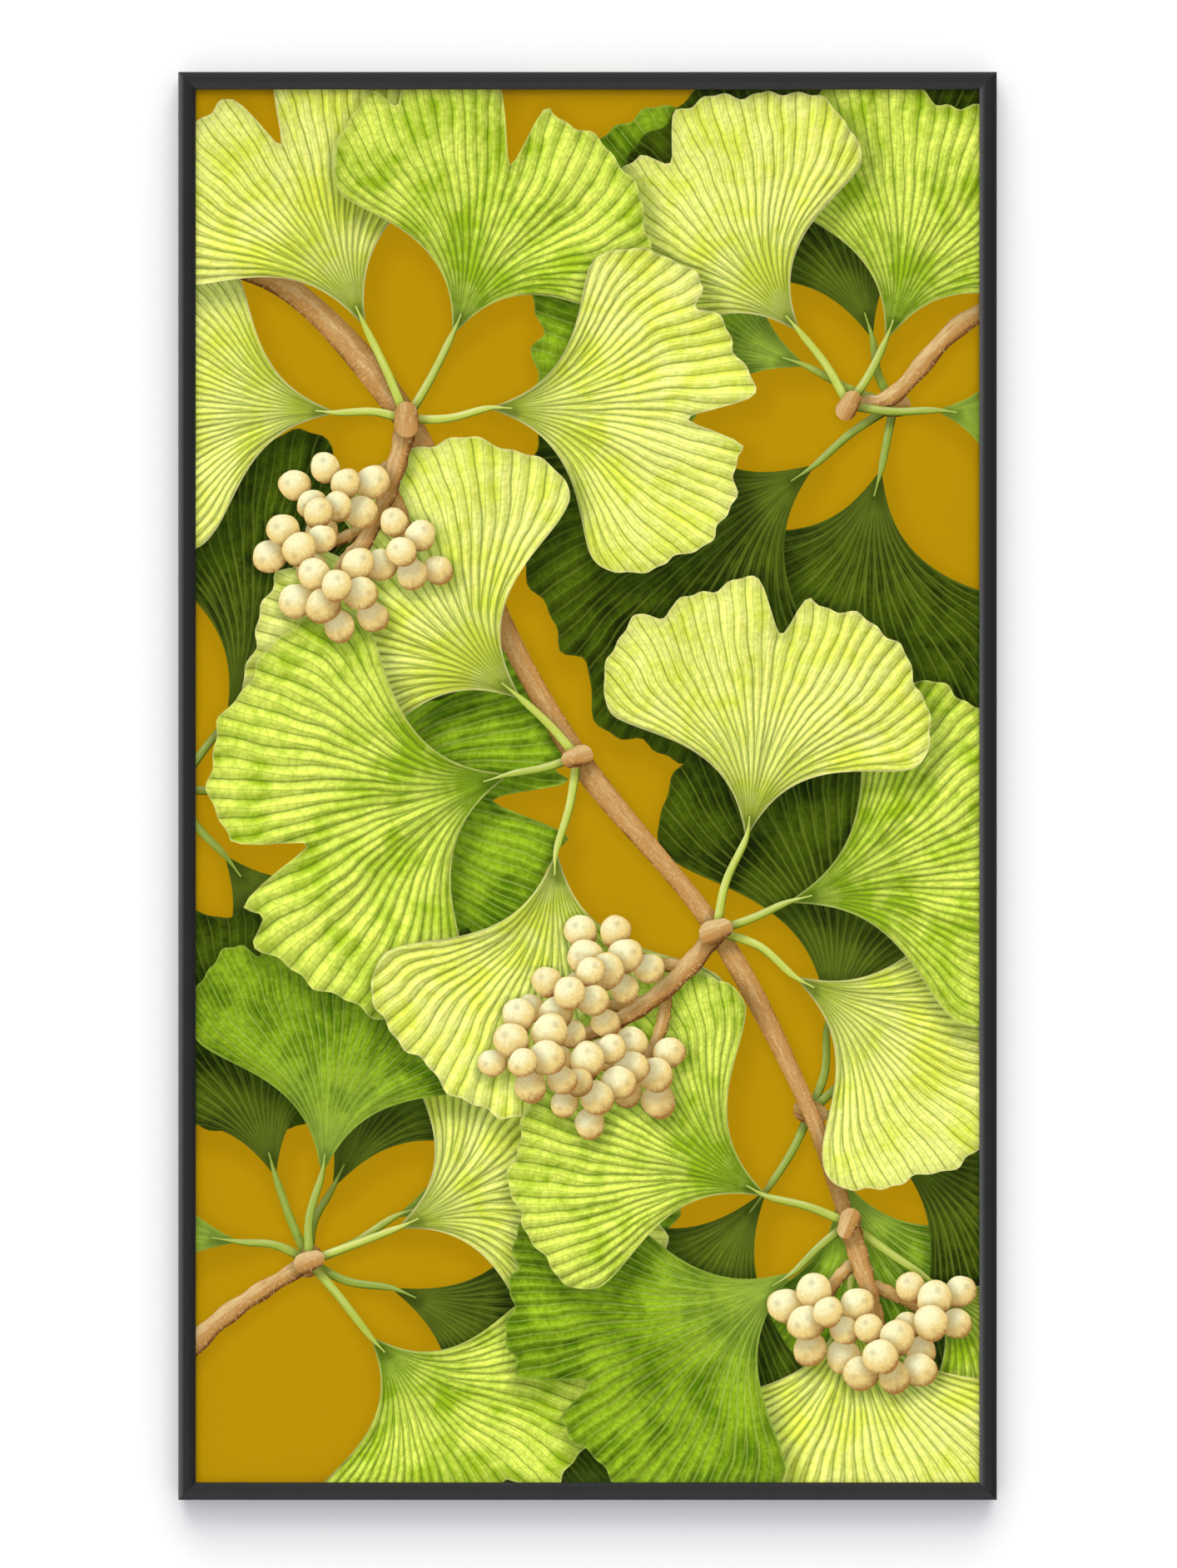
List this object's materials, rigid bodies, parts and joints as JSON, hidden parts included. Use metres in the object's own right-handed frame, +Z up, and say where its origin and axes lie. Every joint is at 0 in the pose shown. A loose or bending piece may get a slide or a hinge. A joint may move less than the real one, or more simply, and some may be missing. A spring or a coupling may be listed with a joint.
{
  "type": "framed print",
  "caption": "Tall slim dark metal picture frame with a glazed leaf-pattern print, corner hardware, springs and a saw-tooth wall hanger.",
  "frame": {"origin": "where the nail leaves the wall, under the saw-tooth hanger's middle notch, on the wall plane", "axes": "+Z up, along the frame's long side; +Y into the wall, so the picture faces -Y; +X to the right as the viewer sees it"},
  "size_m": [0.47, 0.0235, 0.82],
  "materials": {
    "anodised": "dark charcoal anodised, satin",
    "glazing": "clear, polished",
    "print": "matt printed",
    "backing": "hardboard, smooth side out",
    "plate": "bright zinc plated",
    "screw": "zinc plated",
    "spring": "blued spring steel",
    "hanger": "brass plated, satin",
    "rubber": "matt"
  },
  "bodies": {
    "root": {"backing_board": "backing", "corner_plate_bottom_left": "plate", "corner_plate_bottom_right": "plate", "corner_plate_top_left": "plate", "corner_plate_top_right": "plate", "corner_shim_bottom_left": "plate", "corner_shim_bottom_right": "plate", "corner_shim_top_left": "plate", "corner_shim_top_right": "plate", "glazing": "glazing", "hanger_plate": "hanger", "hanger_screw_left": "screw", "hanger_screw_right": "screw", "print": "print", "rail_bottom": "anodised", "rail_left": "anodised", "rail_right": "anodised", "rail_top": "anodised", "set_screw_bottom_left_1": "screw", "set_screw_bottom_left_2": "screw", "set_screw_bottom_left_3": "screw", "set_screw_bottom_left_4": "screw", "set_screw_bottom_right_1": "screw", "set_screw_bottom_right_2": "screw", "set_screw_bottom_right_3": "screw", "set_screw_bottom_right_4": "screw", "set_screw_top_left_1": "screw", "set_screw_top_left_2": "screw", "set_screw_top_left_3": "screw", "set_screw_top_left_4": "screw", "set_screw_top_right_1": "screw", "set_screw_top_right_2": "screw", "set_screw_top_right_3": "screw", "set_screw_top_right_4": "screw", "sliding_nut_left": "plate", "sliding_nut_right": "plate", "spring_bottom_1": "spring", "spring_bottom_2": "spring", "spring_left_1": "spring", "spring_left_2": "spring", "spring_left_3": "spring", "spring_right_1": "spring", "spring_right_2": "spring", "spring_right_3": "spring", "spring_top_1": "spring", "spring_top_2": "spring", "wall_pad_bottom_left": "rubber", "wall_pad_bottom_right": "rubber", "wall_pad_top_left": "rubber", "wall_pad_top_right": "rubber"}
  },
  "joints": []
}
